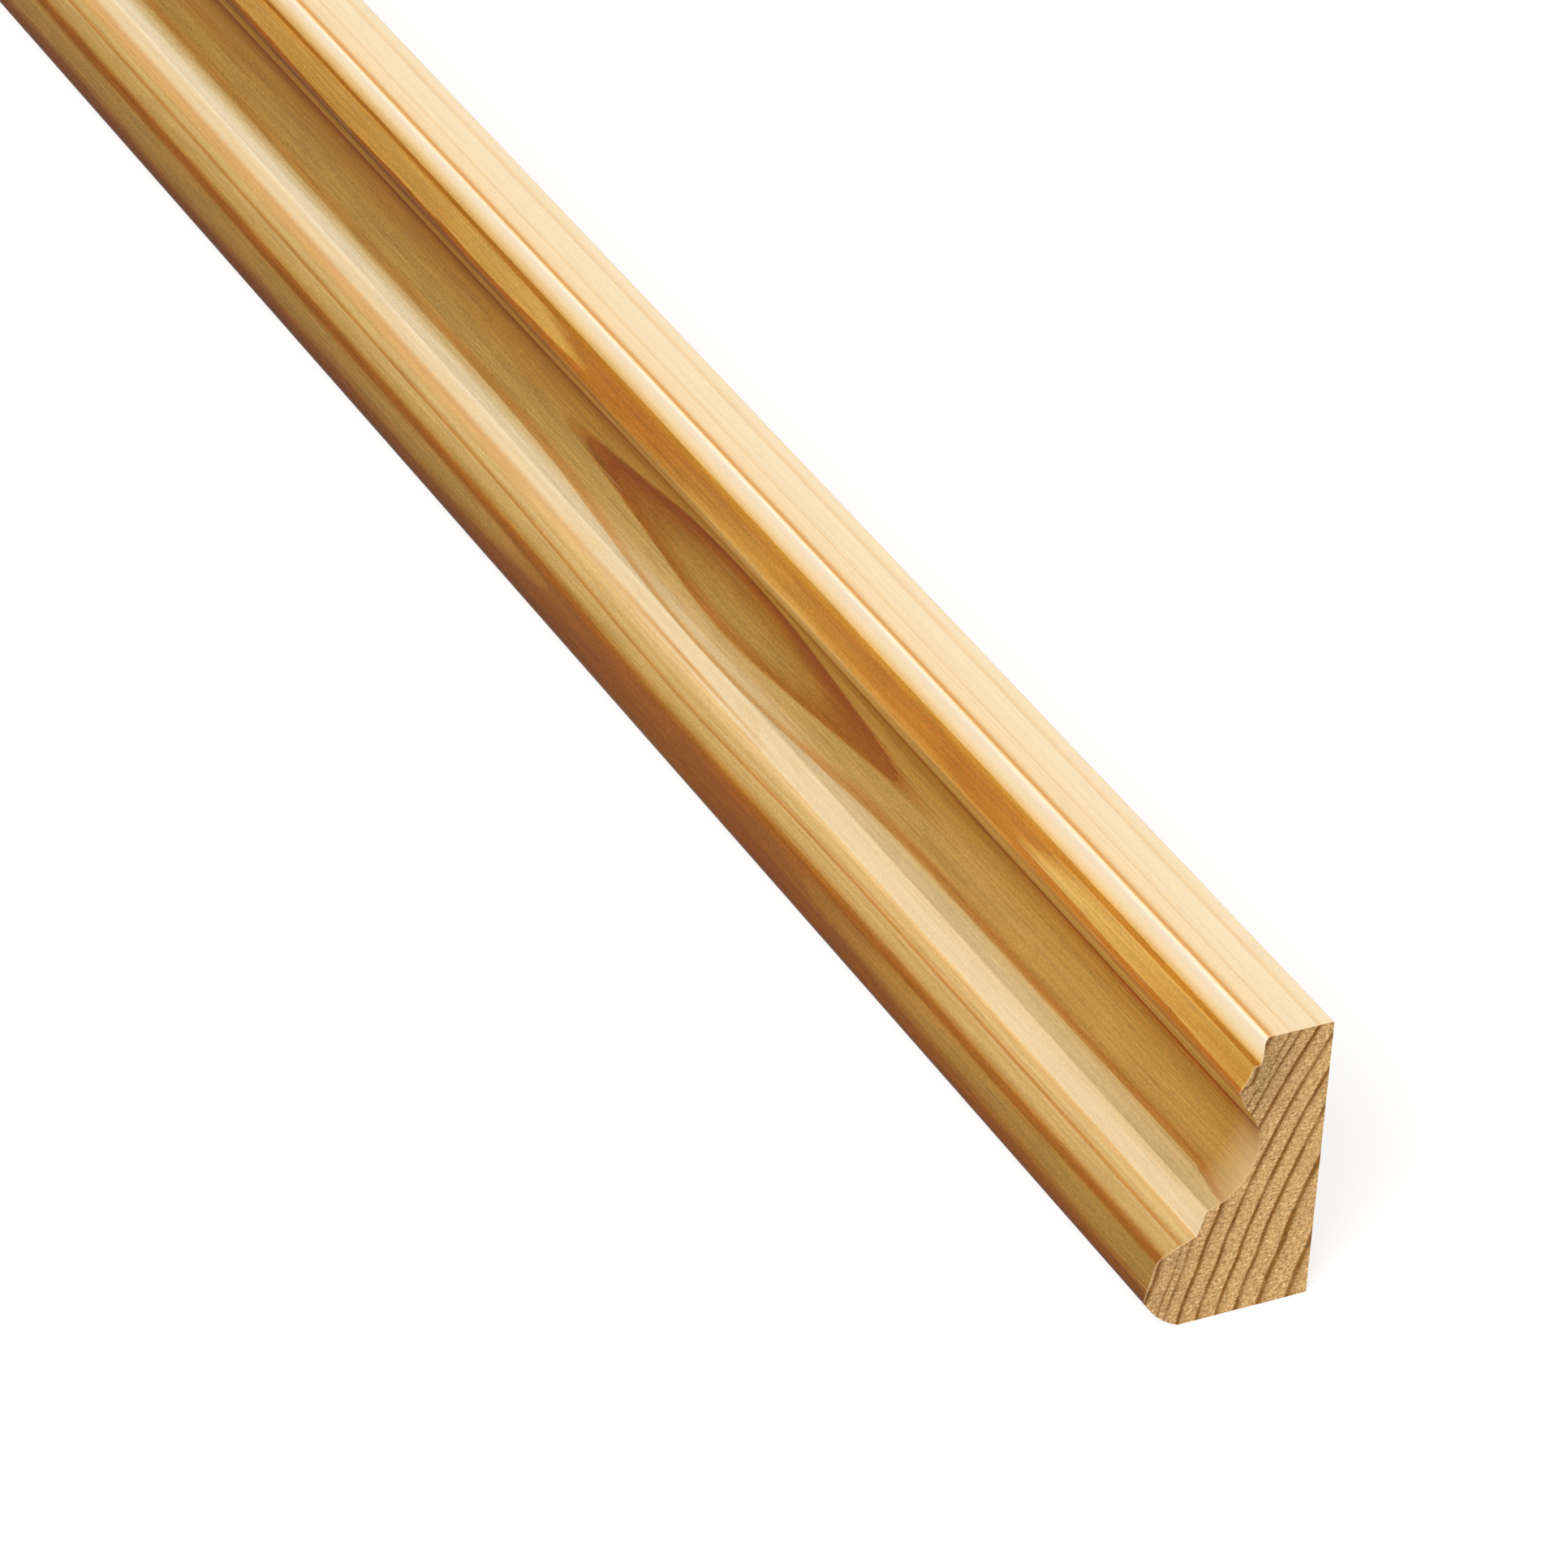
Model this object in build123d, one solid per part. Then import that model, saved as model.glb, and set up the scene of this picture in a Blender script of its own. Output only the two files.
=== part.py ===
from build123d import *
import math
import os

# A length of planed pine corner moulding, lying on its base along X.
# The moulded front faces -Y, the flat back faces +Y, and the origin is the middle of its footprint.
# Lengths are in millimetres and angles in degrees.

# Stock
length = 2400.0
height = 40.0
depth = 23.0
top_width = 9.3
base_width = 18.0

# Fillet below the top face, nearly upright
top_fillet_height = 3.9
top_fillet_splay = 0.35
top_arris_round = 0.5

# Bead below the top fillet: a narrow quirk, a slightly hollow face, a nose and a flat underside
bead_quirk_width = 1.05
bead_quirk_fall = 0.2
bead_face_width = 1.65
bead_face_fall = 3.2
bead_face_hollow = 0.18
bead_nose_round = 0.5
bead_underside_setback = 1.0
bead_underside_fall = 2.4

# Cove, which starts behind a small quirk under the bead
cove_quirk_setback = 1.0
cove_quirk_fall = 1.2
cove_hollow = 3.7

# Fillet between the cove and the torus, leaning back
mid_fillet_top = 16.1
mid_fillet_height = 3.35
mid_fillet_splay = 1.05
mid_fillet_edge_round = 0.6

# Torus along the front, with its sloping top, its face and the nose where the underside starts
torus_top_width = 6.55
torus_shoulder_height = 10.5
torus_shoulder_round = 2.4
torus_face_lean = 14.0
nose_height = 4.85
nose_round = 1.0
nose_underside_lean = 29.0


def on_nose(angle):
    """The point of the rounded nose whose outward direction is that many degrees above level."""
    turn = math.radians(angle)
    return Vector(
        depth - nose_round + nose_round * math.cos(turn),
        nose_height + nose_round * math.sin(turn),
    )


def rounded(face, corner, radius):
    """The section with the corner at that point rounded."""
    return fillet(face.vertices().sort_by_distance(corner)[0], radius)


def moulded_section():
    """The section as (distance out from the back, height above the base), from the back clockwise."""
    base_back = Vector(0, 0)
    top_back = Vector(0, height)
    top_arris = Vector(top_width, height)
    top_fillet_foot = top_arris + Vector(top_fillet_splay, -top_fillet_height)
    bead_crown = top_fillet_foot + Vector(bead_quirk_width, -bead_quirk_fall)
    bead_nose = bead_crown + Vector(bead_face_width, -bead_face_fall)
    bead_foot = bead_nose + Vector(-bead_underside_setback, -bead_underside_fall)
    cove_top = bead_foot + Vector(-cove_quirk_setback, -cove_quirk_fall)
    mid_fillet_foot = Vector(depth - torus_top_width, mid_fillet_top - mid_fillet_height)
    mid_fillet_edge = mid_fillet_foot + Vector(-mid_fillet_splay, mid_fillet_height)
    face_foot = on_nose(torus_face_lean)
    face_setback = (torus_shoulder_height - face_foot.Y) * math.tan(math.radians(torus_face_lean))
    torus_shoulder = Vector(face_foot.X - face_setback, torus_shoulder_height)
    underside_start = on_nose(-nose_underside_lean)
    underside_lean = math.radians(nose_underside_lean)
    underside_direction = Vector(-math.sin(underside_lean), -math.cos(underside_lean))
    base_front = Vector(base_width, 0)
    outline = [
        Polyline(base_back, top_back, top_arris, top_fillet_foot, bead_crown),
        SagittaArc(bead_crown, bead_nose, -bead_face_hollow),
        Polyline(bead_nose, bead_foot, cove_top),
        SagittaArc(cove_top, mid_fillet_edge, -cove_hollow),
        Polyline(mid_fillet_edge, mid_fillet_foot, torus_shoulder, face_foot),
        ThreePointArc(face_foot, on_nose(0), underside_start),
        TangentArc(underside_start, base_front, tangent=underside_direction),
        Line(base_front, base_back),
    ]
    section = make_face(outline)
    section = rounded(section, top_arris, top_arris_round)
    section = rounded(section, bead_nose, bead_nose_round)
    section = rounded(section, mid_fillet_edge, mid_fillet_edge_round)
    return rounded(section, torus_shoulder, torus_shoulder_round)


# The section stands on the near end, and the stock runs from there to the far end.
near_end = Plane(origin=(length / 2, depth / 2, 0), x_dir=(0, -1, 0), z_dir=(-1, 0, 0))
corner_moulding = extrude(near_end * moulded_section(), amount=length)

os.makedirs("parts", exist_ok=True)
export_step(corner_moulding, "parts/corner_moulding.step")
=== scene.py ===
import math
from typing import NamedTuple

import bpy
from mathutils import Matrix, Vector, noise
from mathutils.geometry import delaunay_2d_cdt


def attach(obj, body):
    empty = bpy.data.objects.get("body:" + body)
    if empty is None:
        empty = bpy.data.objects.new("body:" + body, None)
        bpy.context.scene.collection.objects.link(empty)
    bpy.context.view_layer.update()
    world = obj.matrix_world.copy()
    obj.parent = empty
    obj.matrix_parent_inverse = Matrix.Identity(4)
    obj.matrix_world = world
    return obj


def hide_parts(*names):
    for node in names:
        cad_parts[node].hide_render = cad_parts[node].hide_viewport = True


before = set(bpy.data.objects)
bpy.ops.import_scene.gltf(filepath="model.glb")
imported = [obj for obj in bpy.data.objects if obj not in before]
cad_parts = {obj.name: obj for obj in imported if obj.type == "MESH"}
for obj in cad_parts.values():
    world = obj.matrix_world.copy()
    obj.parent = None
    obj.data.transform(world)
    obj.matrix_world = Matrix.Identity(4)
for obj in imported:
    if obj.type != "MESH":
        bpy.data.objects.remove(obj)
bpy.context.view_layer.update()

# Stock, in millimetres; the part's frame has its origin in the middle of the footprint
mm = 0.001
length = 2400.0
height = 40.0
depth = 23.0
top_width = 9.3
base_width = 18.0

# Fillet below the top face
top_fillet_height = 3.9
top_fillet_splay = 0.35
top_arris_round = 0.5

# Bead below the top fillet
bead_quirk_width = 1.05
bead_quirk_fall = 0.2
bead_face_width = 1.65
bead_face_fall = 3.2
bead_face_hollow = 0.18
bead_nose_round = 0.5
bead_underside_setback = 1.0
bead_underside_fall = 2.4

# Cove
cove_quirk_setback = 1.0
cove_quirk_fall = 1.2
cove_hollow = 3.7

# Fillet between the cove and the torus
mid_fillet_top = 16.1
mid_fillet_height = 3.35
mid_fillet_splay = 1.05
mid_fillet_edge_round = 0.6

# Torus
torus_top_width = 6.55
torus_shoulder_height = 10.5
torus_shoulder_round = 2.4
torus_face_lean = 14.0
nose_height = 4.85
nose_round = 1.0
nose_underside_lean = 29.0
underside_bulge = 0.55

# Softening that planing and handling leave on the square corners
arris_round = 0.2
quirk_round = 0.12

# Sawn ends: how deep the saw's marks go in, and how far apart the points are that carry them
saw_depth = 0.16
saw_grain = 0.42
saw_spacing = 0.38
net_tolerance = 1e-5

# Fineness of the mesh
arc_step = math.radians(5.0)
side_steps = 6
round_steps = 2
stations = 48

# Map of the surface: strips of the worked faces one above the other, over a row with the two ends
map_strips = 2
map_margin = 0.006
map_end_row = 0.1
map_end_scale = 0.0039

# Growth rings: the pith's place in the section, and each ring's outer edge with the depth of its latewood
pith_front = -117.0
pith_up = -30.7
rings = (
    (115.6, 0.9),
    (119.8, 0.9),
    (123.95, 1.0),
    (127.95, 1.0),
    (130.95, 1.0),
    (133.55, 1.1),
    (136.2, 0.95),
    (138.85, 1.1),
    (140.9, 0.15),
    (142.05, 0.55),
    (144.6, 0.95),
    (146.6, 1.0),
    (148.8, 0.8),
)

# In what follows, a place along the length has a distance from the near end, a half length and an amount.
# A range of four numbers carries a value between the first two to a value between the last two.
# A band has a middle and a half width.
# A noise has its sizes along, across and up, its detail and its roughness.

# Where the rings swell towards the front, and how that eases off outwards, upwards and on the mid fillet
swells = (
    (139.5, 30.0, 1.55),
    (139.5, 110.0, 0.45),
    (560.0, 60.0, 1.5),
    (905.0, 45.0, 2.3),
    (1330.0, 70.0, 1.4),
    (1720.0, 50.0, 2.0),
    (2120.0, 60.0, 1.7),
)
swell_over_radius = (139.2, 145.0, 1.0, 0.15)
swell_over_height = (28.0, 37.5, 1.0, 0.0)
swell_at_fillet_foot = (12.5, 12.8, 0.0, 0.25)
swell_at_fillet_edge = (15.2, 16.2, 1.0, 0.0)

# Where the next ring comes to the bead's face as a pale tongue, with a dark rim below it
tongues = (
    (0.0, 80.0, 1.25),
    (265.0, 94.0, 1.65),
    (500.0, 60.0, 1.2),
    (690.0, 70.0, 1.3),
    (1080.0, 90.0, 1.4),
    (1500.0, 80.0, 1.2),
    (1900.0, 75.0, 1.4),
    (2290.0, 40.0, 1.2),
)
tongue_foot = (32.6, 33.7, 0.0, 1.0)
tongue_head = (34.3, 36.4, 1.0, 0.5)
tongue_crown = (36.4, 37.0, 1.0, 0.0)
tongue_over_radius = (141.0, 143.0, 0.0, 1.0)
tongue_raggedness = 1.2
rim_band = (32.0, 0.9)

# Where the ring at the cove's foot stands higher
ledge_lift = 0.75
ledges = (
    (85.0, 40.0, 0.13),
    (140.0, 35.0, -0.3),
    (205.0, 45.0, 0.15),
    (420.0, 70.0, 0.3),
    (1010.0, 90.0, 0.35),
    (1640.0, 80.0, 0.3),
)
ledge_band = (17.6, 1.5)
ledge_from_end = (0.0, 8.0, 0.0, 1.0)

# Where the ring at the cove's head stands higher
brows = (
    (140.0, 95.0, 0.42),
    (905.0, 100.0, 0.4),
    (1720.0, 90.0, 0.35),
)
brow_band = (27.0, 1.8)

# How far the next ring comes to the torus's face, and where it draws back
torus_lift = 0.25
torus_band = (7.9, 2.4)
draws = (
    (105.0, 25.0, 0.4),
    (870.0, 30.0, 0.4),
    (1690.0, 30.0, 0.3),
)

# Lift of the rings towards the top face, and their waves and torn edges
top_lift = (34.0, 40.0, 0.0, 0.12)
wave_noise = ((60.0, 16.0, 16.0), 2.0, 0.5)
wave_depth = 0.2
long_tear_noise = ((30.0, 0.8, 0.8), 3.0, 0.6)
long_tear_depth = 0.09
end_tear_noise = ((3.0, 0.32, 0.32), 3.0, 0.6)
end_tear_depth = 0.5

# Latewood along the grain: its darkness from a ring's start to its end, its threads, and where it is fainter
long_profile = ((0.0, 0.6), (0.05, 0.07), (0.55, 0.09), (0.73, 0.35), (0.85, 0.95), (0.93, 1.0), (1.0, 0.8))
thread_noise = ((240.0, 0.3, 1.0), 3.0, 0.6)
thread_dark = (0.02, 0.22, 0.0, 0.3)
faint_along = (150.0, 250.0, 0.15, 0.5)
faint_band = (17.4, 0.9)
rim_dark = 0.55

# Latewood at the mid fillet's foot, and thin slivers of it on that fillet
foot_along = (130.0, 200.0, 0.2, 0.95)
foot_band = (13.2, 0.8)
foot_edge = (12.5, 12.8, 0.0, 1.0)
slivers = (
    (141.0, 17.0, 0.8),
    (560.0, 30.0, 0.6),
    (905.0, 22.0, 0.8),
    (1720.0, 25.0, 0.7),
)
sliver_band = (13.5, 0.3)

# Golden tint: its streaks, its changes up the section, thinner from the cove's head up as painted light
# against the bead's shade, and through a ring, and where the bead's nose is paler
streak_noise = ((160.0, 3.0, 3.0), 2.0, 0.5)
streak_share = 0.4
gold_over_height_painted_light = (25.5, 28.5, 1.0, 0.76)
gold_over_growth = (0.0, 0.6, 0.75, 1.1)
gold_at_ring_start = (0.0, 0.05, 0.2, 0.0)
pale_noses = (
    (118.0, 50.0, 0.5),
    (610.0, 60.0, 0.4),
    (1190.0, 70.0, 0.5),
    (1800.0, 60.0, 0.4),
)
pale_nose_band = (32.4, 0.9)

# Golden tint on the top fillet; gold under the bead as painted shade, deepening away from the near end; and
# gold on the bead by the near end
amber_along = (150.0, 230.0, 0.0, 1.0)
amber_band = (36.9, 1.0)
amber_gold = 0.15
amber_fresh = -0.5
under_bead_shade_along = (170.0, 250.0, 0.0, 0.3)
under_bead_shade_band = (30.3, 1.8)
near_bead_along = (0.0, 45.0, 0.3, 0.0)
near_bead_band = (34.6, 1.5)

# Olive tint: painted shade with the gold and on the torus, deepening away from the near end; on the bead's
# rim; and more by the near end
far_shade_along = (40.0, 240.0, 0.0, 0.38)
far_shade_over_height = (31.5, 33.0, 1.0, 0.85)
rim_along = (60.0, 180.0, 0.0, 1.0)
rim_tint = 0.25
torus_far_shade_along = (120.0, 260.0, 0.0, 0.14)
torus_far_shade_over_height = (12.4, 13.2, 1.0, 0.0)
near_end_olive = (0.0, 35.0, 0.1, 0.0)

# Paler wood at the cove's foot, and the turn from gold to olive in the lower cove
pale_foot_along = (0.0, 280.0, 0.15, 0.68)
pale_foot_band = (16.3, 0.6)
pale_foot_fresh = 1.5
drift_noise = ((75.0, 7.0, 7.0), 2.0, 0.5)
drift_share = 0.6
mossy_along = (45.0, 100.0, 0.0, 0.5)
mossy_band = (19.2, 2.6)

# Fine texture of the worked faces, pale flecks, a painted highlight along the near end's edge and the dust
# beside it
fibre_noise = ((14.0, 0.3, 0.3), 4.0, 0.65)
fibre_light = 0.75
speckle_noise = ((0.6, 0.24, 0.24), 2.0, 0.6)
speckle_light = 0.5
texture_over_tint = (0.0, 1.1, 0.3, 1.6)
fleck_noise = ((16.0, 0.14, 0.14), 1.0, 0.5)
fleck_share = (0.24, 0.3, 0.0, 0.25)
lip_highlight_share = (0.15, 0.4, 0.35, 0.0)
dust_along = (0.0, 7.0, 0.6, 0.0)
dust_band = (21.0, 5.0)

# Sheen and relief of the worked faces
gloss = 0.15
long_roughness = 0.52
fibre_roughness = 0.2
late_relief = 0.3
long_relief_strength = 0.3
long_relief_depth = 0.05

# Sawn ends: the latewood of a ring, and its unevenness
end_profile = ((0.0, 0.1), (0.03, 0.0), (0.6, 0.05), (0.75, 0.35), (0.85, 1.0), (0.95, 1.0), (1.0, 0.15))
end_least_depth = 0.7
uneven_noise = ((9.0, 4.0, 4.0), 2.0, 0.5)
uneven_dark = 1.5

# Sawn ends: sandy grains, rays across the rings, blotches, and shade outwards and beside the top fillet
sand_noise = ((1.0, 0.42, 0.42), 3.0, 0.75)
sand_light = 2.0
sand_dark = 1.6
sand_pale = (0.02, 0.22, 0.0, 0.9)
ray_noise = ((0.26, 0.8, 1.0), 2.0, 0.6)
ray_light = 1.4
blotch_noise = ((5.0, 3.0, 3.0), 2.0, 0.5)
blotch_light = 0.3
end_light_over_radius = (133.0, 144.0, 1.0, 0.86)
end_shade = -0.2
end_shade_up = (36.0, 6.0)
end_shade_front = (9.5, 4.0)
end_roughness = 0.85
end_relief_strength = 0.8
end_relief_depth = 0.22

# Pine's colours, and the shares of red, green and blue that a layer of each tint leaves
fresh_wood = (253, 240, 217)
early_wood = (252, 224, 178)
latewood_tint = (0.79, 0.53, 0.29)
gold_tint = (0.523, 0.326, 0.073)
olive_tint = (0.368, 0.301, 0.157)
dusty_wood = (222, 188, 140)
end_wood = (236, 187, 122)
end_pale_wood = (250, 218, 172)
end_latewood = (156, 103, 42)

# Floor, sky and lamps; a lamp has its direction, strength and softness in degrees
floor_reach = 60.0
floor_grey = (0.35, 0.35, 0.35, 1.0)
floor_glow = 0.75
sky_fill = 0.45
key_lamp = ((0.44, -0.63, 0.64), 2.65, 35.0)
back_lamp = ((-0.5, 0.85, 0.05), 0.7, 45.0)

# Camera, from the straight edges in the photograph
camera_azimuth = math.radians(61.42)
camera_elevation = math.radians(32.40)
camera_roll = math.radians(3.64)
camera_from_near_corner = Vector((0.71879, -0.46876, 0.61164))
camera_lens = 196.8
camera_sensor = 36.0
camera_reach = 200.0


class Finish(NamedTuple):
    """The finish at a place on the section.

    Fresh is the share of freshly cut wood, gold and olive are the layers of those tints, partly the wood's
    own tone and partly painted shade, deepest in the quirks and at the cove's head, and figure is how
    strongly the rings show.
    """

    fresh: float
    gold: float
    olive: float
    figure: float


class Corner(NamedTuple):
    """A corner of the section, with the finish at the start and end of the side that follows it."""

    place: Vector
    rounding: float
    start: Finish
    end: Finish
    hollow: float = 0.0
    easing: float = 1.0


# Finish of each side, at its start and its end where it changes; an easing above one makes the change late
back_finish = Finish(0.0, 0.05, 0.1, 0.6)
top_finish = (Finish(0.3, 0.0, 0.0, 0.22), Finish(0.0, 0.0, 0.0, 1.4))
top_easing = 4.0
top_fillet_finish = (Finish(1.1, 0.0, 0.0, 0.15), Finish(-0.3, 0.38, 0.0, 0.3))
top_fillet_easing = 5.0
# The quirk's gold is partly painted shade in the crease below the top fillet.
quirk_finish = Finish(0.0, 1.05, 0.0, 0.5)
bead_finish = (Finish(0.0, 0.92, 0.0, 1.0), Finish(0.0, 0.92, 0.05, 1.0))
under_bead_finish = Finish(0.0, 0.93, 0.0, 0.7)
# The cove's tints are partly painted shade: darkest at its head under the bead, paler towards its foot.
cove_finish = (Finish(0.0, 1.0, 0.0, 1.75), Finish(0.0, -0.34, 0.74, 0.65))
cove_easing = 2.0
mid_fillet_finish = (Finish(0.0, 0.0, 0.28, 0.7), Finish(1.0, 0.0, 0.18, 0.7))
torus_top_finish = (Finish(0.0, 0.03, 0.17, 1.5), Finish(0.0, 0.14, 0.55, 1.6))
torus_face_finish = (Finish(0.0, 0.42, 0.63, 1.6), Finish(0.0, 0.65, 0.85, 1.5))
torus_face_easing = 3.0
nose_finish = Finish(0.0, 0.8, 1.05, 1.5)
underside_finish = (nose_finish, Finish(0.0, 0.2, 0.4, 0.8))
olive_easing = 0.5


def turned(direction, angle):
    """The direction turned anticlockwise by that angle."""
    return Matrix.Rotation(angle, 2) @ direction


def level(angle):
    """The direction at that angle above the horizontal, out from the back."""
    return Vector((math.cos(angle), math.sin(angle)))


def section_corners():
    """The section's corners from the base's back edge."""
    top_arris = Vector((top_width, height))
    top_fillet_foot = top_arris + Vector((top_fillet_splay, -top_fillet_height))
    bead_crown = top_fillet_foot + Vector((bead_quirk_width, -bead_quirk_fall))
    bead_nose = bead_crown + Vector((bead_face_width, -bead_face_fall))
    bead_foot = bead_nose + Vector((-bead_underside_setback, -bead_underside_fall))
    cove_top = bead_foot + Vector((-cove_quirk_setback, -cove_quirk_fall))
    mid_fillet_foot = Vector((depth - torus_top_width, mid_fillet_top - mid_fillet_height))
    mid_fillet_edge = mid_fillet_foot + Vector((-mid_fillet_splay, mid_fillet_height))
    lean = math.radians(torus_face_lean)
    under = -math.radians(nose_underside_lean)
    nose_centre = Vector((depth - nose_round, nose_height))
    face_foot = nose_centre + nose_round * level(lean)
    face_rise = torus_shoulder_height - face_foot.y
    torus_shoulder = face_foot + Vector((-face_rise * math.tan(lean), face_rise))
    nose_reach = nose_round / math.cos((lean - under) / 2)
    nose_corner = nose_centre + nose_reach * level((lean + under) / 2)
    underside_start = nose_centre + nose_round * level(under)
    return (
        Corner(Vector((0, 0)), arris_round, back_finish, back_finish),
        Corner(Vector((0, height)), arris_round, *top_finish, easing=top_easing),
        Corner(top_arris, top_arris_round, *top_fillet_finish, easing=top_fillet_easing),
        Corner(top_fillet_foot, quirk_round, quirk_finish, quirk_finish),
        Corner(bead_crown, arris_round, *bead_finish, bead_face_hollow),
        Corner(bead_nose, bead_nose_round, under_bead_finish, under_bead_finish),
        Corner(bead_foot, quirk_round, under_bead_finish, cove_finish[0]),
        Corner(cove_top, quirk_round, *cove_finish, cove_hollow, cove_easing),
        Corner(mid_fillet_edge, mid_fillet_edge_round, *mid_fillet_finish),
        Corner(mid_fillet_foot, quirk_round, *torus_top_finish),
        Corner(torus_shoulder, torus_shoulder_round, *torus_face_finish, easing=torus_face_easing),
        Corner(nose_corner, nose_round, nose_finish, nose_finish),
        Corner(underside_start, 0.0, *underside_finish, -underside_bulge),
        Corner(Vector((base_width, 0)), arris_round, back_finish, back_finish),
    )


def section_side(start, end, hollow):
    """A side of the section: its length, its turn, and a function for the place and heading along it."""
    chord = end - start
    sweep = 4 * math.atan2(2 * hollow, chord.length)
    span = chord.length * (sweep / 2) / math.sin(sweep / 2) if hollow else chord.length

    def place(share):
        reach = share
        if hollow:
            reach = math.sin(share * sweep / 2) / math.sin(sweep / 2)
        point = start + turned(chord, -sweep / 2 * (1 - share)) * reach
        return point, turned(chord.normalized(), -sweep / 2 * (1 - 2 * share))

    return span, sweep, place


def outward(heading):
    """The direction out of the stock on a side that is followed clockwise."""
    return Vector((-heading.y, heading.x))


class Sample(NamedTuple):
    """A place on the section's outline, with the direction out of the stock and the finish there."""

    place: Vector
    facing: Vector
    finish: Finish


def mixed(first, second, share):
    """A number that share of the way from the first to the second."""
    return first + (second - first) * share


def mixed_finish(start, end, share, tint_share):
    """A finish between two, with a share of its own for the tints."""
    return Finish(
        mixed(start.fresh, end.fresh, share),
        mixed(start.gold, end.gold, tint_share),
        mixed(start.olive, end.olive, tint_share ** olive_easing),
        mixed(start.figure, end.figure, tint_share),
    )


def section_runs():
    """The section as runs of samples, sides and rounded corners in turn."""
    corners = section_corners()
    count = len(corners)
    sides = []
    for corner, after in zip(corners, corners[1:] + corners[:1]):
        sides.append(section_side(corner.place, after.place, corner.hollow))
    turns = [sides[k - 1][2](1)[1].angle_signed(sides[k][2](0)[1]) for k in range(count)]
    trims = [corner.rounding * math.tan(abs(turn) / 2) for corner, turn in zip(corners, turns)]

    def sample(k, share):
        point, heading = sides[k][2](share)
        here = corners[k]
        finish = mixed_finish(here.start, here.end, share, share ** here.easing)
        return Sample(point, outward(heading), finish)

    runs = []
    for k, (span, sweep, _) in enumerate(sides):
        after = (k + 1) % count
        first = trims[k] / span
        last = 1 - trims[after] / span
        steps = max(side_steps, math.ceil(abs(sweep) / arc_step))
        runs.append([sample(k, mixed(first, last, step / steps)) for step in range(steps + 1)])
        if trims[after]:
            opening = sample(after, trims[after] / sides[after][0])
            runs.append(rounded_corner(runs[-1][-1], opening, corners[after].rounding))
    return runs


def rounded_corner(before, after, radius):
    """The run that rounds a corner from one side's last sample to the next side's first."""
    turn = before.facing.angle_signed(after.facing)
    bow = math.copysign(radius, turn)
    start_centre = before.place - bow * before.facing
    end_centre = after.place - bow * after.facing
    steps = max(round_steps, math.ceil(abs(turn) / arc_step / 2))
    run = []
    for step in range(steps + 1):
        share = step / steps
        facing = turned(before.facing, -turn * share)
        place = start_centre.lerp(end_centre, share) + bow * facing
        run.append(Sample(place, facing, mixed_finish(before.finish, after.finish, share, share)))
    return run


def in_frame(near, place):
    """A place in the section, that far from the near end, in the part's frame."""
    return Vector((length / 2 - near, depth / 2 - place.x, place.y)) * mm


def holds(outline, place):
    """Whether the closed outline of the section goes round that place."""
    inside = False
    for start, end in zip(outline, outline[1:] + outline[:1]):
        if (start.y > place.y) != (end.y > place.y):
            crossing = start.x + (end.x - start.x) * (place.y - start.y) / (end.y - start.y)
            inside = inside != (crossing > place.x)
    return inside


def end_triangles(outline):
    """The section's face as an even net: the places inside the outline, and triangles over both."""
    inner = []
    row_gap = saw_spacing * math.sqrt(3) / 2
    for row in range(1, int(height / row_gap)):
        for step in range(int(depth / saw_spacing)):
            place = Vector(((step + row % 2 / 2 + 0.5) * saw_spacing, row * row_gap))
            nearest = min((place - edge).length for edge in outline)
            if nearest > saw_spacing / 2 and holds(outline, place):
                inner.append(place)
    net = delaunay_2d_cdt(outline + inner, [], [list(range(len(outline)))], 1, net_tolerance)
    return inner, net[2]


def saw_mark(near, place):
    """How far in from its end the saw has torn the wood at a place in the section."""
    return saw_depth * (0.5 + 0.5 * noise.noise(Vector((near, place.x, place.y)) / saw_grain))


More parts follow.
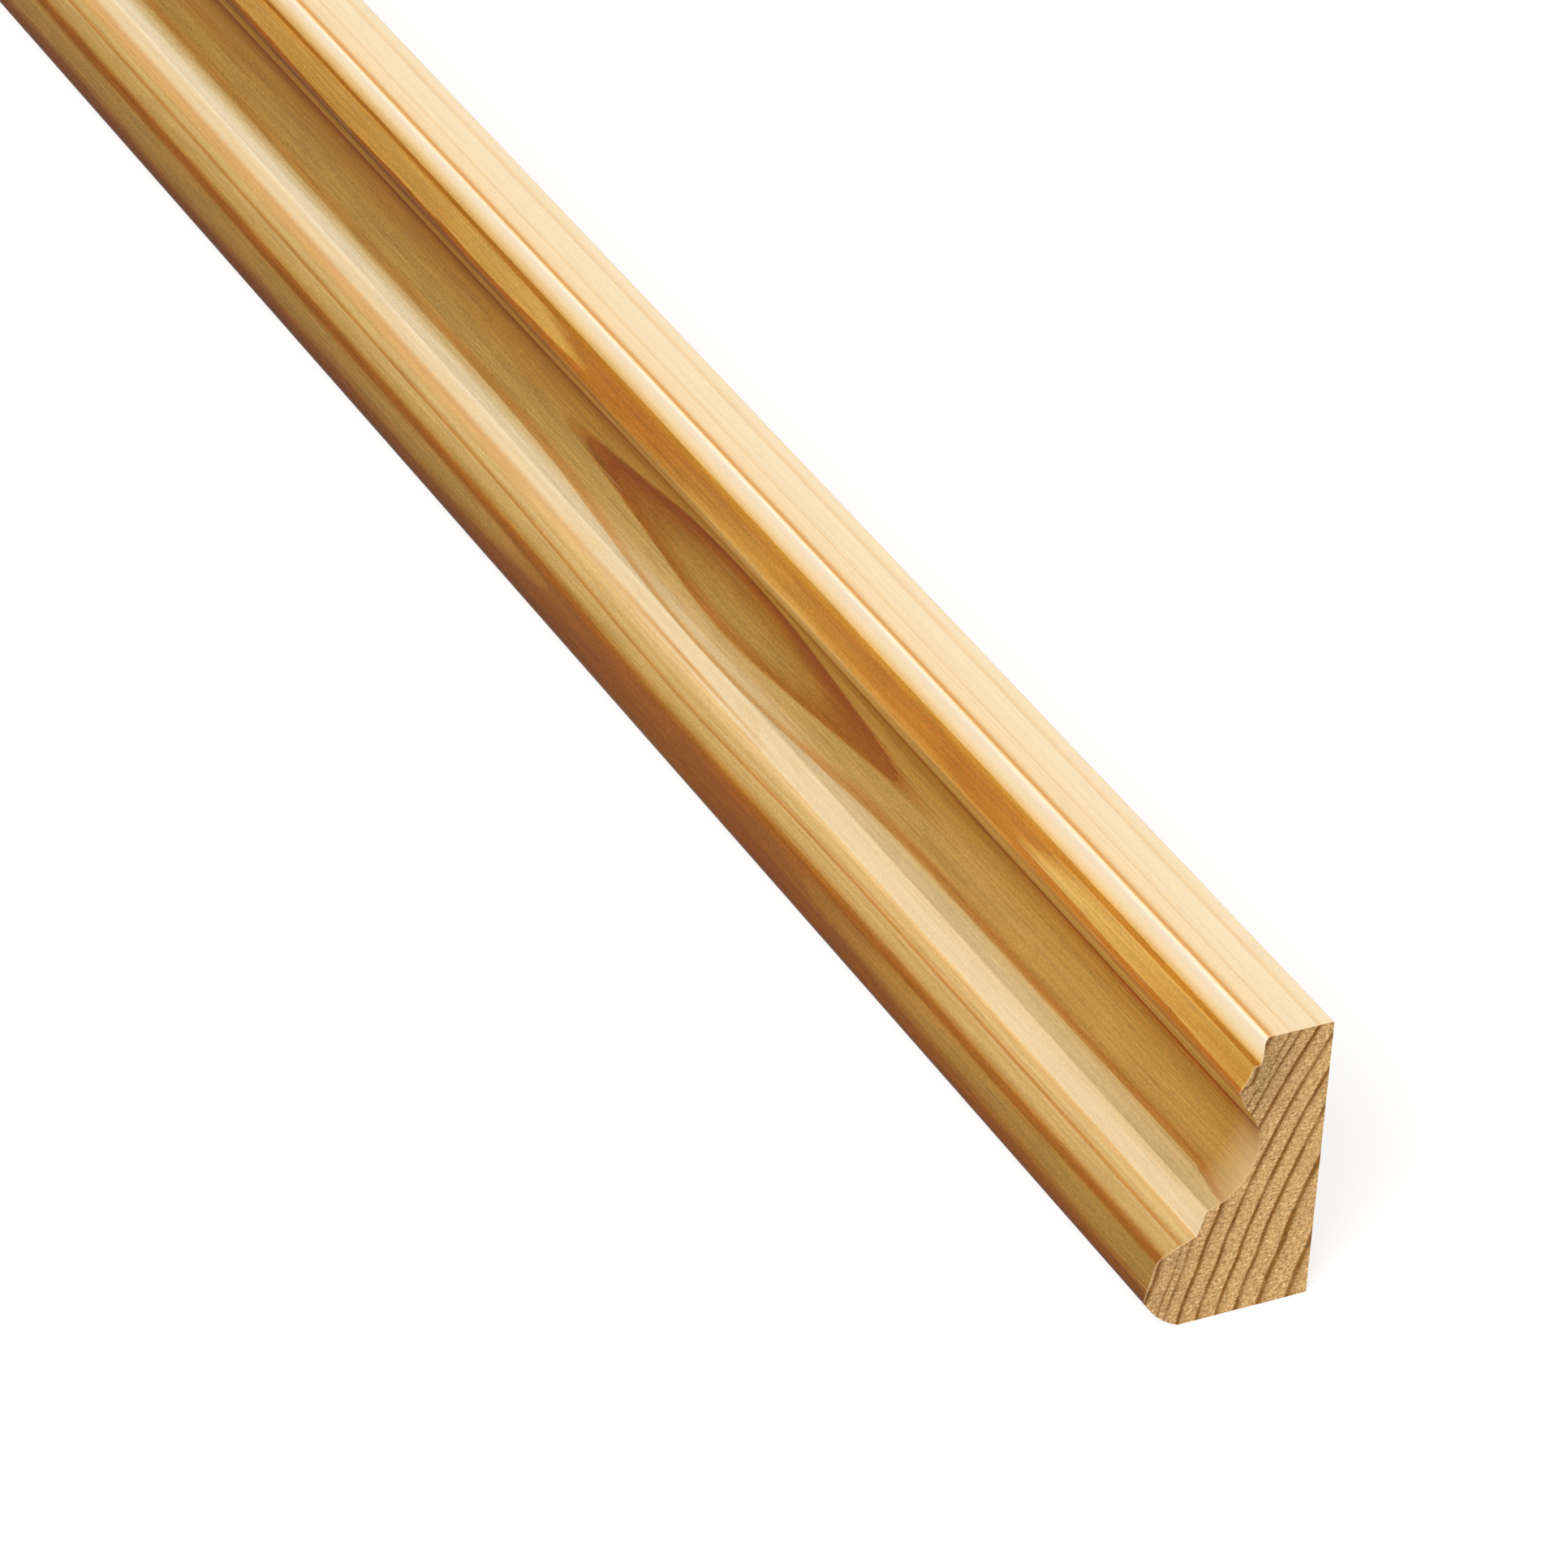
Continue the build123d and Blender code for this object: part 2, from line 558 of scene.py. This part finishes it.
def moulding_mesh():
    """The whole length as one closed mesh, with the section's own outward directions for its shading."""
    runs = section_runs()
    outline = [sample for run in runs for sample in run[:-1]]
    facings = [(run[k].facing, run[k + 1].facing) for run in runs for k in range(len(run) - 1)]
    count = len(outline)
    rim = [sample.place for sample in outline]
    inner, triangles = end_triangles(rim)
    places = []
    for s in range(stations + 1):
        near = length * s / stations
        torn = {0: 1, stations: -1}.get(s, 0)
        places += [in_frame(near + torn * saw_mark(near, place), place) for place in rim]
    places += [in_frame(saw_mark(0, place), place) for place in inner]
    places += [in_frame(length - saw_mark(length, place), place) for place in inner]
    girth = [0.0]
    for place, after in zip(rim, rim[1:] + rim[:1]):
        girth.append(girth[-1] + (after - place).length)
    faces = []
    normals = []
    spots = []
    for s in range(stations):
        for k, (start, end) in enumerate(facings):
            after = (k + 1) % count
            faces.append((s * count + k, (s + 1) * count + k, (s + 1) * count + after, s * count + after))
            normals += [(0, -facing.x, facing.y) for facing in (start, start, end, end)]
            around = (girth[k] / girth[-1], girth[k + 1] / girth[-1])
            spots += strip_spots(s, around)
    side_faces = len(faces)
    far_rim = stations * count
    near_inner = far_rim + count
    far_inner = near_inner + len(inner)
    for triangle in triangles:
        near_corners = [k if k < count else near_inner + k - count for k in reversed(triangle)]
        far_corners = [far_rim + k if k < count else far_inner + k - count for k in triangle]
        faces += [near_corners, far_corners]
        section = [(rim + inner)[k] for k in triangle]
        spots += [end_spot(0, place) for place in reversed(section)]
        spots += [end_spot(1, place) for place in section]
        normals += [(0, 0, 0)] * 6
    mesh = bpy.data.meshes.new("pine_corner_moulding")
    mesh.from_pydata(places, [], faces)
    is_side = [number < side_faces for number in range(len(faces))]
    mesh.polygons.foreach_set("use_smooth", is_side)
    mesh.polygons.foreach_set("material_index", [0 if side else 1 for side in is_side])
    mesh.normals_split_custom_set(normals)
    surface_map = mesh.uv_layers.new(name="OFBake")
    surface_map.data.foreach_set("uv", [number for spot in spots for number in spot])
    for name in Finish._fields:
        values = [getattr(sample.finish, name) for sample in outline] * (stations + 1)
        layer = mesh.attributes.new(name, "FLOAT", "POINT")
        layer.data.foreach_set("value", values + [0.0] * (2 * len(inner)))
    return mesh


def strip_spots(station, around):
    """The corners, on the surface's map, of the face after a station and between two shares of the girth."""
    per_strip = stations // map_strips
    strip, step = divmod(station, per_strip)
    strip_height = (1 - map_end_row) / map_strips
    low = map_end_row + strip * strip_height + map_margin
    span = strip_height - 2 * map_margin
    left, right = [mixed(map_margin, 1 - map_margin, (step + end) / per_strip) for end in (0, 1)]
    bottom, top = [low + share * span for share in around]
    return [(left, bottom), (right, bottom), (right, top), (left, top)]


def end_spot(end, place):
    """A place of the section on the surface's map, for the near end, 0, or the far end, 1."""
    across = map_margin + end * (height * map_end_scale + 2 * map_margin)
    return (across + place.y * map_end_scale, map_margin / 2 + place.x * map_end_scale)


def srgb(red, green, blue):
    """A colour given as screen values from 0 to 255, as the shader takes it."""
    shares = [value / 255 for value in (red, green, blue)]
    linear = [s / 12.92 if s <= 0.04045 else ((s + 0.055) / 1.055) ** 2.4 for s in shares]
    return (*linear, 1.0)


class Wiring:
    """Adds nodes to a material and joins them."""

    def __init__(self, name):
        self.material = bpy.data.materials.new(name)
        self.material.use_nodes = True
        self.tree = self.material.node_tree
        self.shader = self.tree.nodes["Principled BSDF"]

    def feed(self, socket, value):
        """Joins a socket to another one, or sets it."""
        if isinstance(value, bpy.types.NodeSocket):
            self.tree.links.new(value, socket)
        else:
            socket.default_value = value

    def node(self, kind, inputs=None, **settings):
        """A node of that kind with its settings, and its sockets fed by name or number."""
        made = self.tree.nodes.new("ShaderNode" + kind)
        for name, value in settings.items():
            setattr(made, name, value)
        for name, value in (inputs or {}).items():
            self.feed(made.inputs[name], value)
        return made

    def math(self, operation, *values):
        """What an operation makes of one to three values."""
        made = self.node("Math", operation=operation)
        for socket, value in zip(made.inputs, values):
            self.feed(socket, value)
        return made.outputs[0]

    def product(self, first, *others):
        """The values multiplied together."""
        for other in others:
            first = self.math("MULTIPLY", first, other)
        return first

    def rest(self, share):
        """What a share leaves of one."""
        return self.math("SUBTRACT", 1.0, share)

    def remap(self, value, low, high, to_low, to_high):
        """The value carried from one range to another and kept inside it."""
        inputs = {"Value": value, "From Min": low, "From Max": high, "To Min": to_low, "To Max": to_high}
        return self.node("MapRange", inputs).outputs[0]

    def noise(self, place, scale, detail, roughness):
        """Noise about zero, with a size for each direction in millimetres."""
        sizes = [1 / size for size in scale]
        stretched = self.node("VectorMath", {0: place, 1: sizes}, operation="MULTIPLY").outputs[0]
        inputs = {"Vector": stretched, "Scale": 1.0, "Detail": detail, "Roughness": roughness}
        made = self.node("TexNoise", inputs)
        return self.math("SUBTRACT", made.outputs["Fac"], 0.5)

    def bell(self, value, centre, half):
        """One at the centre, falling smoothly to about a third at the half width from it."""
        offset = self.math("DIVIDE", self.math("SUBTRACT", value, centre), half)
        return self.math("EXPONENT", self.math("MULTIPLY", self.math("MULTIPLY", offset, offset), -1.0))

    def along(self, near, rises):
        """The sum of smooth rises, each with its distance from the near end, half length and height."""
        total = 0.0
        for centre, half, rise in rises:
            total = self.math("MULTIPLY_ADD", self.bell(near, centre, half), rise, total)
        return total

    def mix(self, share, first, second, blend="MIX"):
        """A share of the second colour over the first, in that blend."""
        made = self.node("Mix", data_type="RGBA", blend_type=blend)
        self.feed(made.inputs[0], share)
        self.feed(made.inputs[6], first)
        self.feed(made.inputs[7], second)
        return made.outputs[2]

    def tint(self, colour, tint, amount):
        """The colour seen through that many layers of a tint."""
        layers = [self.math("POWER", share, amount) for share in tint]
        through = self.node("CombineColor", dict(enumerate(layers))).outputs[0]
        return self.mix(1.0, colour, through, "MULTIPLY")

    def ramp(self, value, stops, interpolation="LINEAR"):
        """A number from stops of (place, number)."""
        made = self.node("ValToRGB", {"Fac": value})
        made.color_ramp.interpolation = interpolation
        elements = made.color_ramp.elements
        for _ in stops[2:]:
            elements.new(0.5)
        for element, (place, number) in zip(elements, stops):
            element.position = place
            element.color = (number, number, number, 1.0)
        return made.outputs["Color"]

    def attribute(self, name):
        """A number that the mesh carries at its points."""
        return self.node("Attribute", attribute_name=name).outputs["Fac"]

    def curve(self, value, points):
        """A number from straight lines between points, both from 0 to 1."""
        made = self.node("FloatCurve", {"Value": value})
        line = made.mapping.curves[0]
        for _ in points[2:]:
            line.points.new(0.5, 0.5)
        for point, (x, y) in zip(line.points, points):
            point.location = (x, y)
            point.handle_type = "VECTOR"
        made.mapping.update()
        return made.outputs["Value"]

    def relief(self, rise, strength, rise_depth):
        """Shows fine relief in the shading, with its depth in millimetres."""
        bump = self.node("Bump", {"Strength": strength, "Distance": rise_depth * mm, "Height": rise})
        self.feed(self.shader.inputs["Normal"], bump.outputs[0])


class Grain(NamedTuple):
    """What the rings give at a place in the stock, as sockets."""

    place: object
    near: object
    front: object
    up: object
    around: object
    radius: object
    growth: object
    depth: object
    rim: object


def swell_at(wiring, near, up, radius):
    """How far the rings swell towards the front, with their rise at the cove's head."""
    fillet = wiring.product(wiring.remap(up, *swell_at_fillet_foot), wiring.remap(up, *swell_at_fillet_edge))
    swell = wiring.product(
        wiring.along(near, swells),
        wiring.rest(fillet),
        wiring.remap(radius, *swell_over_radius),
        wiring.remap(up, *swell_over_height),
    )
    brow = wiring.product(wiring.along(near, brows), wiring.bell(up, *brow_band))
    return wiring.math("ADD", swell, brow)


def tongue_at(wiring, near, up, radius, tears):
    """How far the next ring comes to the bead's face, and the dark rim below it."""
    tongue = wiring.along(near, tongues)
    rim = wiring.product(tongue, wiring.bell(up, *rim_band))
    ragged = wiring.math("MULTIPLY_ADD", tears, tongue_raggedness, up)
    tongue = wiring.product(
        tongue,
        wiring.remap(ragged, *tongue_foot),
        wiring.remap(up, *tongue_head),
        wiring.remap(up, *tongue_crown),
        wiring.remap(radius, *tongue_over_radius),
    )
    return tongue, rim


def ledge_at(wiring, near, up):
    """How far the ring at the cove's foot stands higher."""
    ledge = wiring.math("ADD", wiring.along(near, ledges), ledge_lift)
    return wiring.product(ledge, wiring.remap(near, *ledge_from_end), wiring.bell(up, *ledge_band))


def torus_at(wiring, near, up):
    """How far the next ring comes to the torus's face."""
    drawn = wiring.rest(wiring.along(near, draws))
    return wiring.product(wiring.bell(up, *torus_band), torus_lift, drawn)


def ring_at(wiring, radius):
    """How far through its growth the ring at a radius is, and the depth of its latewood."""
    first = rings[0][0]
    last = rings[-1][0]
    count = len(rings) - 1
    share = wiring.remap(radius, first, last, 0.0, 1.0)
    edges = [((edge - first) / (last - first), k / count) for k, (edge, _) in enumerate(rings)]
    number = wiring.math("MULTIPLY", wiring.curve(share, edges), float(count))
    growth = wiring.math("FRACT", number)
    whole = wiring.math("DIVIDE", wiring.math("FLOOR", number), float(count))
    depths = [(k / count, dark) for k, (_, dark) in enumerate(rings[1:])]
    return growth, wiring.ramp(wiring.math("ADD", whole, 0.5 / count), depths, "CONSTANT")


def ring_pattern(wiring, tear_noise, tear_depth):
    """The log's rings through the stock, with their swells, waves and torn edges."""
    coordinates = wiring.node("TexCoord").outputs["Object"]
    place = wiring.node("VectorMath", {0: coordinates, "Scale": 1 / mm}, operation="SCALE").outputs[0]
    axes = wiring.node("SeparateXYZ", {0: place}).outputs
    near = wiring.math("SUBTRACT", length / 2, axes[0])
    front = wiring.math("SUBTRACT", depth / 2, axes[1])
    up = axes[2]
    out = wiring.math("SUBTRACT", front, pith_front)
    above = wiring.math("SUBTRACT", up, pith_up)
    arm = wiring.node("CombineXYZ", {0: out, 1: above, 2: 0.0}).outputs[0]
    radius = wiring.node("VectorMath", {0: arm}, operation="LENGTH").outputs[1]
    around = wiring.product(wiring.math("ARCTAN2", above, out), radius)
    waves = wiring.noise(place, *wave_noise)
    tears = wiring.noise(place, *tear_noise)
    tongue, rim = tongue_at(wiring, near, up, radius, tears)
    top = wiring.remap(up, *top_lift)
    radius = wiring.math("SUBTRACT", radius, swell_at(wiring, near, up, radius))
    for lift in (tongue, ledge_at(wiring, near, up), top, torus_at(wiring, near, up)):
        radius = wiring.math("ADD", radius, lift)
    radius = wiring.math("MULTIPLY_ADD", waves, wave_depth, radius)
    radius = wiring.math("MULTIPLY_ADD", tears, tear_depth, radius)
    growth, dark = ring_at(wiring, radius)
    return Grain(place, near, front, up, around, radius, growth, dark, rim)


def patch(wiring, grain, along, band):
    """An amount that changes along the length, in a band up the section."""
    return wiring.product(wiring.remap(grain.near, *along), wiring.bell(grain.up, *band))


def long_latewood(wiring, grain):
    """How dark the latewood is along the grain."""
    late = wiring.product(wiring.ramp(grain.growth, long_profile), grain.depth)
    ring_place = wiring.node("CombineXYZ", {0: grain.near, 1: grain.radius, 2: 0.0}).outputs[0]
    threads = wiring.noise(ring_place, *thread_noise)
    late = wiring.math("ADD", late, wiring.remap(threads, *thread_dark))
    faint = patch(wiring, grain, faint_along, faint_band)
    late = wiring.product(late, wiring.attribute("figure"), wiring.rest(faint))
    late = wiring.math("MULTIPLY_ADD", grain.rim, rim_dark, late)
    foot = wiring.product(patch(wiring, grain, foot_along, foot_band), wiring.remap(grain.up, *foot_edge))
    sliver = wiring.product(wiring.along(grain.near, slivers), wiring.bell(grain.up, *sliver_band))
    return wiring.math("ADD", late, wiring.math("ADD", foot, sliver))


def gold_layers(wiring, grain, streaky, amber):
    """The layers of golden tint on the worked faces."""
    ring_start = wiring.remap(grain.growth, *gold_at_ring_start)
    # Less gold from the cove's head upwards is painted light, lifting the upper cove out of the bead's
    # shade.
    gold = wiring.product(
        wiring.math("MAXIMUM", wiring.attribute("gold"), 0.0),
        streaky,
        wiring.remap(grain.up, *gold_over_height_painted_light),
        wiring.math("ADD", wiring.remap(grain.growth, *gold_over_growth), ring_start),
    )
    pale_nose = wiring.product(wiring.along(grain.near, pale_noses), wiring.bell(grain.up, *pale_nose_band))
    gold = wiring.math("MAXIMUM", wiring.math("SUBTRACT", gold, pale_nose), 0.0)
    gold = wiring.math("MULTIPLY_ADD", amber, amber_gold, gold)
    # Gold under the bead's nose, more of it away from the near end, is painted shade.
    under_bead_shade = patch(wiring, grain, under_bead_shade_along, under_bead_shade_band)
    near_bead = patch(wiring, grain, near_bead_along, near_bead_band)
    return wiring.math("ADD", gold, wiring.math("ADD", under_bead_shade, near_bead))


def olive_layers(wiring, grain, streaky, gold):
    """The layers of olive tint on the worked faces."""
    olive = wiring.product(wiring.attribute("olive"), streaky)
    # Olive added with the gold and on the torus, growing away from the near end, is painted shade where the
    # light falls off along the length.
    far_shade = wiring.product(gold, wiring.remap(grain.up, *far_shade_over_height))
    olive = wiring.math("MULTIPLY_ADD", far_shade, wiring.remap(grain.near, *far_shade_along), olive)
    torus_far_shade_share = wiring.remap(grain.near, *torus_far_shade_along)
    torus = wiring.product(torus_far_shade_share, wiring.remap(grain.up, *torus_far_shade_over_height))
    return wiring.math("ADD", olive, torus)


def long_tints(wiring, grain):
    """The share of fresh wood on the worked faces, and their layers of gold and olive."""
    streaks = wiring.noise(grain.place, *streak_noise)
    streaky = wiring.math("MULTIPLY_ADD", streaks, streak_share, 1.0)
    amber = patch(wiring, grain, amber_along, amber_band)
    gold = gold_layers(wiring, grain, streaky, amber)
    olive = olive_layers(wiring, grain, streaky, gold)
    far_rim = wiring.product(grain.rim, wiring.remap(grain.near, *rim_along))
    pale_foot = patch(wiring, grain, pale_foot_along, pale_foot_band)
    stays = wiring.rest(pale_foot)
    gold = wiring.product(wiring.math("MULTIPLY_ADD", far_rim, rim_tint, gold), stays)
    olive = wiring.product(wiring.math("MULTIPLY_ADD", far_rim, rim_tint, olive), stays)
    fresh = wiring.math("MULTIPLY_ADD", pale_foot, pale_foot_fresh, wiring.attribute("fresh"))
    fresh = wiring.math("MULTIPLY_ADD", amber, amber_fresh, fresh)
    return fresh, gold, olive


def long_colour(wiring, grain, late, texture):
    """The colour along the grain: early wood under its tints, with flecks and a dusty near end."""
    fresh, gold, olive = long_tints(wiring, grain)
    drift = wiring.noise(grain.place, *drift_noise)
    mossy = patch(wiring, grain, mossy_along, mossy_band)
    shift = wiring.product(gold, wiring.math("MULTIPLY_ADD", drift, drift_share, mossy))
    tinted = wiring.math("ADD", gold, olive)
    # More olive on all the tinted wood within 35 mm of the near end.
    olive = wiring.math("MULTIPLY_ADD", tinted, wiring.remap(grain.near, *near_end_olive), olive)
    light = wiring.math("MULTIPLY_ADD", texture, wiring.remap(tinted, *texture_over_tint), 1.0)
    colour = wiring.mix(fresh, srgb(*early_wood), srgb(*fresh_wood))
    colour = wiring.mix(1.0, colour, light, "MULTIPLY")
    colour = wiring.tint(colour, gold_tint, wiring.math("SUBTRACT", gold, shift))
    colour = wiring.tint(colour, olive_tint, wiring.math("ADD", olive, shift))
    colour = wiring.tint(colour, latewood_tint, late)
    flecks = wiring.remap(wiring.noise(grain.place, *fleck_noise), *fleck_share)
    # A painted highlight along the near end's edge, where a tiny chamfer would catch the light.
    lip_highlight = wiring.remap(grain.near, *lip_highlight_share)
    colour = wiring.mix(wiring.math("ADD", flecks, lip_highlight), colour, srgb(*early_wood))
    return wiring.mix(patch(wiring, grain, dust_along, dust_band), colour, srgb(*dusty_wood))


def long_grain():
    """Planed pine along the grain: rings cut into bands and tongues, with fine fibres and a satin face."""
    wiring = Wiring("pine_long_grain")
    grain = ring_pattern(wiring, long_tear_noise, long_tear_depth)
    late = long_latewood(wiring, grain)
    fibres = wiring.noise(grain.place, *fibre_noise)
    speckle = wiring.noise(grain.place, *speckle_noise)
    texture = wiring.math("MULTIPLY_ADD", fibres, fibre_light, wiring.product(speckle, speckle_light))
    wiring.feed(wiring.shader.inputs["Base Color"], long_colour(wiring, grain, late, texture))
    rough = wiring.math("MULTIPLY_ADD", fibres, fibre_roughness, long_roughness)
    wiring.feed(wiring.shader.inputs["Roughness"], rough)
    wiring.shader.inputs["Specular IOR Level"].default_value = gloss
    relief = wiring.math("MULTIPLY_ADD", late, late_relief, wiring.math("ADD", fibres, speckle))
    wiring.relief(relief, long_relief_strength, long_relief_depth)
    return wiring.material


def end_rings(wiring, grain, sand):
    """How dark the ring lines are on a sawn end."""
    uneven = wiring.noise(grain.place, *uneven_noise)
    return wiring.product(
        wiring.ramp(grain.growth, end_profile),
        wiring.math("MAXIMUM", grain.depth, end_least_depth),
        wiring.math("MULTIPLY_ADD", uneven, uneven_dark, 1.0),
        wiring.math("MULTIPLY_ADD", sand, sand_dark, 1.0),
    )


def end_light(wiring, grain, sand):
    """How light a sawn end is: sandy, with rays across the rings, and duller outwards and by the top."""
    ring_place = wiring.node("CombineXYZ", {0: grain.around, 1: grain.radius, 2: grain.near}).outputs[0]
    rays = wiring.noise(ring_place, *ray_noise)
    blotches = wiring.noise(grain.place, *blotch_noise)
    light = wiring.math("MULTIPLY_ADD", sand, sand_light, wiring.math("MULTIPLY_ADD", rays, ray_light, 1.0))
    light = wiring.math("MULTIPLY_ADD", blotches, blotch_light, light)
    shaded = wiring.product(wiring.bell(grain.up, *end_shade_up), wiring.bell(grain.front, *end_shade_front))
    return wiring.product(
        light,
        wiring.remap(grain.radius, *end_light_over_radius),
        wiring.math("MULTIPLY_ADD", shaded, end_shade, 1.0),
    )


def end_grain():
    """Sawn pine across the grain: dark ring lines on a sandy, granular face."""
    wiring = Wiring("pine_end_grain")
    grain = ring_pattern(wiring, end_tear_noise, end_tear_depth)
    sand = wiring.noise(grain.place, *sand_noise)
    colour = wiring.mix(wiring.remap(sand, *sand_pale), srgb(*end_wood), srgb(*end_pale_wood))
    colour = wiring.mix(end_rings(wiring, grain, sand), colour, srgb(*end_latewood))
    colour = wiring.mix(1.0, colour, end_light(wiring, grain, sand), "MULTIPLY")
    wiring.feed(wiring.shader.inputs["Base Color"], colour)
    wiring.shader.inputs["Roughness"].default_value = end_roughness
    wiring.shader.inputs["Specular IOR Level"].default_value = gloss
    wiring.relief(sand, end_relief_strength, end_relief_depth)
    return wiring.material


def add_moulding():
    """The moulding with its worked faces and its two sawn ends."""
    mesh = moulding_mesh()
    mesh.materials.append(long_grain())
    mesh.materials.append(end_grain())
    piece = bpy.data.objects.new("pine_corner_moulding", mesh)
    bpy.context.scene.collection.objects.link(piece)
    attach(piece, "root")
    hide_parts("corner_moulding")


def floor_material():
    """Pale grey that shows white to the camera and in reflections, and keeps the shadow."""
    wiring = Wiring("floor")
    wiring.tree.nodes.remove(wiring.shader)
    paths = wiring.node("LightPath").outputs
    mirrored = wiring.math("MAXIMUM", paths["Is Glossy Ray"], paths["Is Transmission Ray"])
    seen = wiring.math("MAXIMUM", paths["Is Camera Ray"], mirrored)
    matt = wiring.node("BsdfDiffuse", {"Color": floor_grey}).outputs[0]
    glow = wiring.node("Emission", {"Strength": floor_glow}).outputs[0]
    lit = wiring.node("AddShader", {0: matt, 1: glow}).outputs[0]
    choice = wiring.node("MixShader", {0: seen, 1: matt, 2: lit}).outputs[0]
    wiring.feed(wiring.tree.nodes["Material Output"].inputs["Surface"], choice)
    return wiring.material


def add_floor():
    """A level floor under the stock and far round it."""
    corners = [(x * floor_reach, y * floor_reach, 0) for x, y in ((-1, -1), (1, -1), (1, 1), (-1, 1))]
    mesh = bpy.data.meshes.new("floor")
    mesh.from_pydata(corners, [], [(0, 1, 2, 3)])
    mesh.materials.append(floor_material())
    floor = bpy.data.objects.new("floor", mesh)
    bpy.context.scene.collection.objects.link(floor)


def add_sky(fill):
    """An even white sky that fills the shade, and shows white to the camera."""
    world = bpy.data.worlds.new("sky")
    bpy.context.scene.world = world
    world.use_nodes = True
    tree = world.node_tree
    sky = tree.nodes["Background"]
    sky.inputs["Color"].default_value = (1.0, 1.0, 1.0, 1.0)
    paths = tree.nodes.new("ShaderNodeLightPath").outputs
    level_of = tree.nodes.new("ShaderNodeMapRange")
    tree.links.new(paths["Is Camera Ray"], level_of.inputs["Value"])
    level_of.inputs["To Min"].default_value = fill
    level_of.inputs["To Max"].default_value = 1.0
    tree.links.new(level_of.outputs[0], sky.inputs["Strength"])


def add_sun(name, towards, strength, softness):
    """A soft lamp that shines evenly over the whole length, from that direction."""
    lamp = bpy.data.lights.new(name, "SUN")
    lamp.energy = strength
    lamp.angle = math.radians(softness)
    sun = bpy.data.objects.new(name, lamp)
    sun.rotation_euler = Vector(towards).to_track_quat("Z", "Y").to_euler()
    bpy.context.scene.collection.objects.link(sun)


def add_camera():
    """The photograph's own view of the near end."""
    lens = bpy.data.cameras.new("camera")
    lens.sensor_width = camera_sensor
    lens.lens = camera_lens
    lens.clip_end = camera_reach
    camera = bpy.data.objects.new("camera", lens)
    swing = Matrix.Rotation(camera_azimuth, 4, "Z")
    tilt = Matrix.Rotation(math.pi / 2 - camera_elevation, 4, "X")
    roll = Matrix.Rotation(camera_roll, 4, "Z")
    near_corner = in_frame(0.0, Vector((0.0, 0.0)))
    stand = Matrix.Translation(near_corner + camera_from_near_corner)
    camera.matrix_world = stand @ swing @ tilt @ roll
    bpy.context.scene.collection.objects.link(camera)
    bpy.context.scene.camera = camera


add_moulding()
add_floor()
add_sky(sky_fill)
add_sun("key", *key_lamp)
add_sun("back", *back_lamp)
add_camera()
bpy.context.scene.view_settings.view_transform = "Standard"
